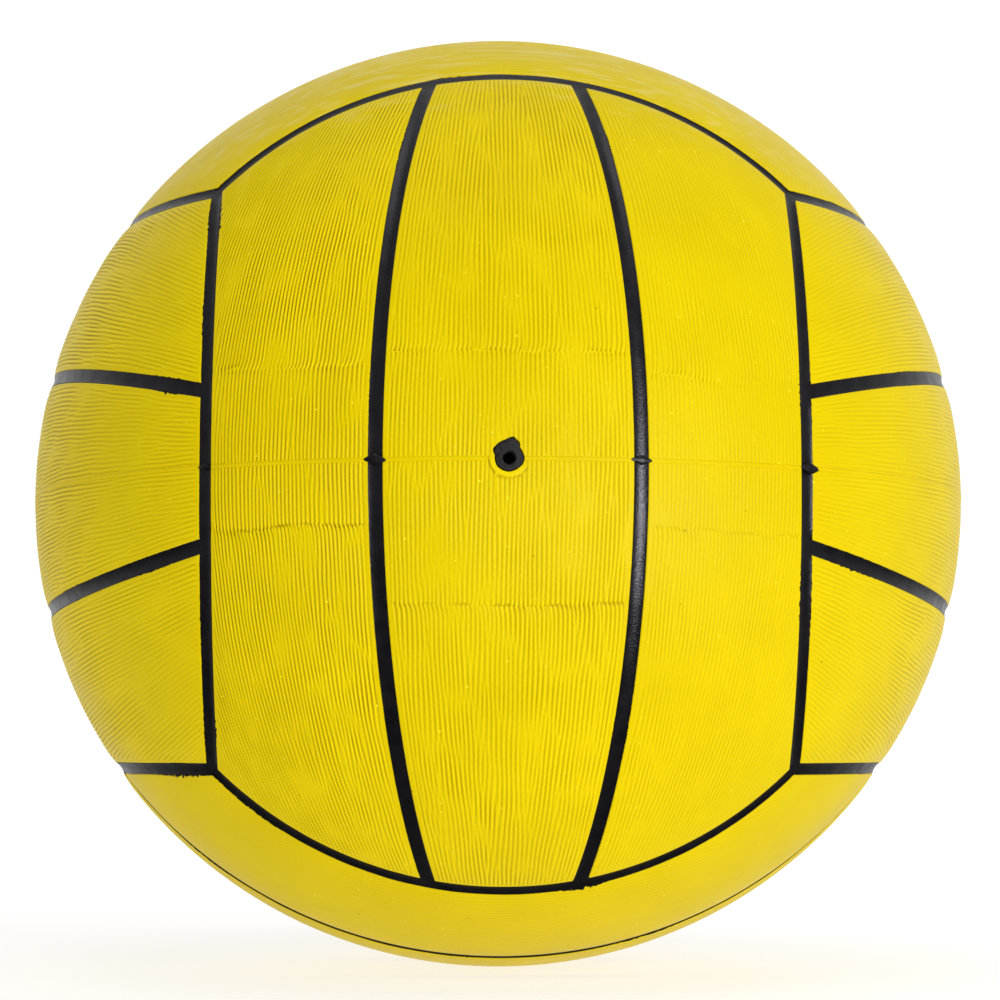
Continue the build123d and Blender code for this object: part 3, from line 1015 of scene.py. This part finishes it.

# %% [markdown]
# ## Yellow rubber
# The colour is darkest between the ridges and palest on their crests: painted shade in the grooves. The
# height that each corner of the mesh remembers drives a colour ramp, so the colour follows every ridge
# and fork exactly. Slow clouds of tint go over it, pale specks painted as glints on raised grains, and a
# few pits darkened with painted shade.

# %% Colour of the yellow rubber
VALLEY_PAINTED_SHADE, SLOPE, CREST = (0.42, 0.28, 0.0, 1), (0.79, 0.605, 0.0, 1), (0.95, 0.765, 0.0015, 1)
FADED, PLAIN = (0.94, 0.93, 0.9, 1), (1, 1, 1, 1)
PAINTED_GLINT, PIT_SHADE = (0.91, 0.75, 0.03, 1), (0.4, 0.27, 0.0, 1)
GLINT_SPECKS = {"Spacing": 0.0026, "Size": 0.09, "Rarity": 0.62}
PIT_SHADE_SPECKS = {"Spacing": 0.0062, "Size": 0.045, "Rarity": 0.75}


def new_material(name):
    """A material with nothing in its tree but a shader that is joined to the output."""
    made = bpy.data.materials.new(name)
    made.use_nodes = True
    made.node_tree.nodes.clear()
    shader = add_node(made.node_tree, "ShaderNodeBsdfPrincipled")
    add_node(made.node_tree, "ShaderNodeOutputMaterial", {"Surface": shader.outputs["BSDF"]})
    return made, made.node_tree, shader.inputs


def remembered(tree, name):
    """Number that the mesh's corners remember under a name."""
    return add_node(tree, "ShaderNodeAttribute", attribute_name=name).outputs["Fac"]


cover, tree, shader = new_material("cover_yellow_rubber")
# The ramp darkens the valleys between the ridges: painted shade.
ramp = add_node(tree, "ShaderNodeValToRGB", {"Fac": remembered(tree, "ridge_shade_share")})
ramp.color_ramp.elements[0].color = VALLEY_PAINTED_SHADE
ramp.color_ramp.elements[1].color = CREST
ramp.color_ramp.elements.new(MEAN_SHARE).color = SLOPE
tint = from_group(tree, tint_group, Patch=0.02)["Tint"]
yellow = mixed(tree, 1.0, ramp.outputs["Color"], mixed(tree, tint, FADED, PLAIN), "MULTIPLY")
# Pale specks are painted glints on raised grains, and dark pits are painted shade.
yellow = mixed(tree, from_group(tree, speck_group, **GLINT_SPECKS)["Mask"], yellow, PAINTED_GLINT)
yellow = mixed(tree, from_group(tree, speck_group, **PIT_SHADE_SPECKS)["Mask"], yellow, PIT_SHADE)
print("yellow rubber:", len(tree.nodes), "nodes")

# %% [markdown]
# ## Scuffs and strayed paint
# The top of the ball has pale scuffs in long streaks: noise that is stretched by a Mapping node. Along
# some lines the paint has crept over the rim in a ragged edge. A mask compares the distance to the
# channel with a small, noisy reach, which is larger at the spots that remember more spill.

# %% Streaks and a ragged edge
SCUFF = (0.80, 0.68, 0.22, 1)
STREAKS_PER_METRE = (45, 480, 480)
SCUFF_LEVEL, SCUFF_FRONT = (0.055, 0.075), (0.0, 0.03)
SCUFF_SHARE, SCUFF_NOISE = 0.5, (0.52, 0.66)
SPILL_REACH, SPILL_GRAIN, SPILL_MIDDLE = (0.12, 3.0), 0.8 * MM, 0.45
RIM_PAINT, RIM_SOFTNESS = (0.05, 0.35), (-0.04, 0.04)

mapping = add_node(tree, "ShaderNodeMapping", {"Vector": here(tree), "Scale": STREAKS_PER_METRE})
noise_inputs = {"Vector": mapping.outputs["Vector"], "Scale": 1.0, "Detail": 3.0}
streaks = add_node(tree, "ShaderNodeTexNoise", noise_inputs).outputs["Fac"]
place = add_node(tree, "ShaderNodeSeparateXYZ", {0: here(tree)}).outputs
level = place["Z"]
off_front = stretched(tree, reckoned(tree, "ADD", level, place["Y"]), SCUFF_FRONT, (0.0, 1.0))
on_top = reckoned(tree, "MULTIPLY", off_front, stretched(tree, level, SCUFF_LEVEL, (0.0, SCUFF_SHARE)))
scuffed = reckoned(tree, "MULTIPLY", on_top, stretched(tree, streaks, SCUFF_NOISE, (0.0, 1.0)))
yellow = mixed(tree, scuffed, yellow, SCUFF)

ragged = reckoned(tree, "SUBTRACT", cloud(tree, SPILL_GRAIN, 3.0), SPILL_MIDDLE)
stray = remembered(tree, "paint_spill")
reach = stretched(tree, stray, (0.0, 1.0), SPILL_REACH)
least = stretched(tree, stray, (0.0, 1.0), RIM_PAINT)
spill = reckoned(tree, "MULTIPLY_ADD", ragged, reach, least)
beyond = reckoned(tree, "SUBTRACT", remembered(tree, "channel_gap"), spill)
painted = stretched(tree, beyond, RIM_SOFTNESS, (1.0, 0.0))
paint = from_group(tree, paint_group, Grain=0.0005)
coloured = mixed(tree, painted, yellow, paint["Colour"])
print("with scuffs and paint:", len(tree.nodes), "nodes")

# %% [markdown]
# ## Sheen of the yellow rubber
# The cover is satin, with a fine grain that scatters what little it reflects. The grain is far too
# small for the mesh, so it is a Bump. The specular level is low, as on a rubber with much filler. A
# faint bloom, as on all old rubber, shows where the cover is seen edge on. The shader's own Sheen gives
# that to every camera, while a colour painted near the outline would only suit one.

# %% Roughness and grain of the yellow rubber
COVER_ROUGHNESS = (0.4, 0.5)
COVER_SPECULAR = 0.03
COVER_GRAIN, COVER_GRAIN_DEPTH = 0.8 * MM, 0.11 * MM
BLOOM_WEIGHT, BLOOM_ROUGHNESS, BLOOM_TINT = 0.25, 0.3, (1.0, 0.95, 0.85, 1)


def bumped(tree, height, distance):
    """Normal that a height from 0 to 1 gives the surface, with its distance in metres."""
    return add_node(tree, "ShaderNodeBump", {"Height": height, "Distance": distance}).outputs["Normal"]


def dress(tree, shader, colour, roughness, normal, specular):
    """Joins colour, roughness and normal to a shader, and sets its specular level."""
    tree.links.new(colour, shader["Base Color"])
    tree.links.new(roughness, shader["Roughness"])
    tree.links.new(normal, shader["Normal"])
    shader["Specular IOR Level"].default_value = specular


rough = stretched(tree, tint, (0.0, 1.0), COVER_ROUGHNESS)
grain = from_group(tree, grain_group, Grain=COVER_GRAIN)["Height"]
dress(tree, shader, coloured, rough, bumped(tree, grain, COVER_GRAIN_DEPTH), COVER_SPECULAR)
shader["Sheen Weight"].default_value = BLOOM_WEIGHT
shader["Sheen Roughness"].default_value = BLOOM_ROUGHNESS
shader["Sheen Tint"].default_value = BLOOM_TINT
for piece in panels:
    piece.data.materials.append(cover)
print(cover.name, "on", len(panels), "panels")

# %% [markdown]
# ## Black lines and flash
# The lines and the flash are painted with the black paint alone. Its grain is deep enough to break up
# the gleam that runs along the right-hand line.

# %% Finish of the lines
PAINT_SPECULAR, PAINT_SHEEN = 0.25, (0.9, 0.88, 1.0, 1)
PAINT_GRAIN, PAINT_GRAIN_DEPTH = 0.45 * MM, 0.09 * MM

black, tree, shader = new_material("channel_black_paint")
paint = from_group(tree, paint_group, Grain=PAINT_GRAIN)
normal = bumped(tree, paint["Height"], PAINT_GRAIN_DEPTH)
dress(tree, shader, paint["Colour"], paint["Roughness"], normal, PAINT_SPECULAR)
shader["Specular Tint"].default_value = PAINT_SHEEN
for piece in lines + flashes:
    piece.data.materials.append(black)
print(black.name, "on", len(lines) + len(flashes), "pieces")

# %% [markdown]
# ## Rubbers and yarn inside
# The valve's plug and seat are a matt black rubber. Under the cover lie a gum rubber carcass, a nylon
# winding and a butyl bladder, which show only when the ball is cut open. Their CAD solids have the
# right shape, so they stay and only get finishes. One function makes the three plain rubbers.

# %% Plain rubbers
RUBBER_GRAIN = 0.3 * MM
VALVE_COLOURS = (0.002, 0.002, 0.002, 1), (0.022, 0.019, 0.021, 1)
GUM_COLOURS = (0.5, 0.38, 0.19, 1), (0.64, 0.51, 0.29, 1)
BUTYL_COLOURS = (0.035, 0.035, 0.038, 1), (0.055, 0.055, 0.06, 1)


def plain_rubber(name, patch, colours, roughness, grain_depth, specular):
    """A rubber with patchy colour, patchy sheen and a fine grain."""
    made, tree, shader = new_material(name)
    tint = from_group(tree, tint_group, Patch=patch)["Tint"]
    grain = from_group(tree, grain_group, Grain=RUBBER_GRAIN)["Height"]
    rough = stretched(tree, tint, (0.0, 1.0), roughness)
    dress(tree, shader, mixed(tree, tint, *colours), rough, bumped(tree, grain, grain_depth), specular)
    return made


valve_rubber = plain_rubber("valve_black_rubber", 0.5 * MM, VALVE_COLOURS, (0.5, 0.65), 0.14 * MM, 0.15)
gum_rubber = plain_rubber("carcass_gum_rubber", 6 * MM, GUM_COLOURS, (0.6, 0.75), 0.06 * MM, 0.3)
butyl = plain_rubber("bladder_butyl", 8 * MM, BUTYL_COLOURS, (0.3, 0.42), 0.02 * MM, 0.5)
valve_plug.data.materials.append(valve_rubber)
print("rubbers:", valve_rubber.name, gum_rubber.name, butyl.name)

# %% [markdown]
# ## Wound yarn
# The winding is hundreds of turns of nylon yarn that cross in all directions. Two sets of bands,
# leaning apart, stand for the topmost turns: where one set is higher it covers the other. That is a
# picture of yarn and not real strands, which nobody would see in there.

# %% Nylon winding
YARN = 1.0 * MM
YARN_SCALE = math.pi / 10 / YARN
YARN_SHADE, YARN_LIGHT = (0.52, 0.52, 0.48, 1), (0.84, 0.84, 0.8, 1)
YARN_LEANS = (0.5, 0.3, 0.0), (-0.4, 1.1, 0.7)
YARN_ROUGHNESS, YARN_DEPTH, YARN_SPECULAR = (0.7, 0.5), 0.2 * MM, 0.5

winding, tree, shader = new_material("wound_nylon")
turns = []
for lean in YARN_LEANS:
    leaning = add_node(tree, "ShaderNodeMapping", {"Vector": here(tree), "Rotation": lean}).outputs["Vector"]
    turns.append(add_node(tree, "ShaderNodeTexWave", {"Vector": leaning, "Scale": YARN_SCALE}).outputs["Fac"])
height = reckoned(tree, "MAXIMUM", *turns)
rough = stretched(tree, height, (0.0, 1.0), YARN_ROUGHNESS)
normal = bumped(tree, height, YARN_DEPTH)
# The yarn is darker where its bands lie low: painted shade between the turns.
dress(tree, shader, mixed(tree, height, YARN_SHADE, YARN_LIGHT), rough, normal, YARN_SPECULAR)

inside = {"carcass": gum_rubber, "nylon_winding": winding, "bladder": butyl, "valve_seat": valve_rubber}
for node, finish in inside.items():
    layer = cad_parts[node].data
    layer.materials.clear()
    layer.materials.append(finish)
print("finishes inside:", {node: finish.name for node, finish in inside.items()})

# %% [markdown]
# ## Camera
# The photograph was taken from a little below and to the left of the valve, close enough for the ball
# to show perspective. The camera's place, lens and shift came from fitting the black lines and the
# outline to it, so the picture frames the ball as the photograph does.

# %% Camera
FRAME_PIXELS = 1000
AIM_PIXEL = (498.05, 503.45)
CAMERA_PLACE = (-0.0141, -0.7017, -0.0592)
SENSOR_WIDTH, LENS = 36.0, 105.44

camera_data = bpy.data.cameras.new("camera")
camera = placed("camera", camera_data)
camera.location = CAMERA_PLACE
camera.rotation_euler = (-camera.location).to_track_quat("-Z", "Y").to_euler()
camera_data.sensor_width = SENSOR_WIDTH
camera_data.lens = LENS
camera_data.shift_x = 0.5 - AIM_PIXEL[0] / FRAME_PIXELS
camera_data.shift_y = AIM_PIXEL[1] / FRAME_PIXELS - 0.5
bpy.context.scene.camera = camera
print("camera at", tuple(camera.location), "with lens", camera_data.lens)

# %% [markdown]
# ## Floor
# The ball stands on a white table that runs out of sight. The floor is a plain grid. It glows a little,
# more at a distance, and so stays white to the edge of the picture and lights the ball from below.

# %% Floor
FLOOR_HALF_SIZE = 6.0
FLOOR_GAP = 0.5 * MM
FLOOR_GREY, FLOOR_ROUGHNESS = (0.35, 0.35, 0.35, 1), 0.8
GLOW_RING, GLOW, GLOW_STRENGTH = (0.15, 0.7), (0.72, 1.0), 0.95
GLOW_CENTRE = (-0.1, 0.0, -0.11)

floor_mesh = bmesh.new()
bmesh.ops.create_grid(floor_mesh, x_segments=4, y_segments=4, size=FLOOR_HALF_SIZE)
bmesh.ops.translate(floor_mesh, vec=(0, 0, cad_low.z - FLOOR_GAP), verts=floor_mesh.verts)
floor_data = bpy.data.meshes.new("floor")
floor_mesh.to_mesh(floor_data)
floor_mesh.free()
floor = placed("floor", floor_data)
floor.visible_glossy = False

pale, tree, shader = new_material("pale_floor")
# The glow is painted light. It is dimmer within GLOW_RING of a point left of the ball, which paints a soft
# shadow round the ball and lights its lower left less from below.
away = add_node(tree, "ShaderNodeVectorMath", {0: here(tree), 1: GLOW_CENTRE}, operation="DISTANCE")
glow = stretched(tree, away.outputs["Value"], GLOW_RING, GLOW)
tree.links.new(glow, shader["Emission Color"])
shader["Emission Strength"].default_value = GLOW_STRENGTH
shader["Base Color"].default_value = FLOOR_GREY
shader["Roughness"].default_value = FLOOR_ROUGHNESS
floor_data.materials.append(pale)
print("floor at", cad_low.z - FLOOR_GAP)

# %% [markdown]
# ## Room
# The photograph's background is white, while the light that falls on the ball from the front is dimmer
# than that. A world whose strength depends on the direction gives both: full white behind the ball, and
# a soft grey everywhere else. It darkens below the floor, so that the ball's underside mirrors little
# and keeps its deep yellow.

# %% White room
BEHIND, ROOM_STRENGTH = (0.4, 0.95), (0.39, 1.1)
BELOW, BELOW_SHARE = (-0.45, -0.05), (0.2, 1.0)

world = bpy.data.worlds.new("white_room")
world.use_nodes = True
bpy.context.scene.world = world
tree = world.node_tree
room = tree.nodes["Background"].inputs
facing = add_node(tree, "ShaderNodeTexCoord").outputs["Generated"]
way = add_node(tree, "ShaderNodeSeparateXYZ", {0: facing}).outputs
behind = stretched(tree, way["Y"], BEHIND, ROOM_STRENGTH)
above = stretched(tree, way["Z"], BELOW, BELOW_SHARE)
tree.links.new(reckoned(tree, "MULTIPLY", behind, above), room["Strength"])
room["Color"].default_value = (1, 1, 1, 1)
print("room:", world.name)

# %% [markdown]
# ## Lights
# A large soft box from the right gives the ridges their shaded sides, a second from above lights the
# top, and a low one fills in near the floor. The last light only draws the gleam in the right-hand
# black line: it is left out of diffuse light, so that it doesn't brighten the yellow beside the line.

# %% Soft boxes
def soft_light(name, place, width, height, power):
    """A soft box that faces the ball and isn't seen by the camera."""
    data = bpy.data.lights.new(name, "AREA")
    data.shape = "RECTANGLE"
    data.size, data.size_y = width, height
    data.energy = power
    made = placed(name, data)
    made.location = place
    made.visible_camera = False
    made.rotation_euler = (-Vector(place)).to_track_quat("-Z", "Y").to_euler()
    return made


soft_light("key", (0.6, -1.0, 0.12), 0.4, 0.6, 5.1)
soft_light("overhead", (0.0, -0.3, 1.15), 0.7, 0.7, 3.7)
soft_light("low_strip", (0.2, -0.36, -0.08), 0.25, 0.05, 0.04)
gleam = soft_light("line_gleam", (0.12, -0.28, -0.04), 0.1, 0.12, 0.8)
gleam.visible_diffuse = False
bpy.context.scene.view_settings.view_transform = "Standard"
print("lights:", [light.name for light in bpy.data.lights])
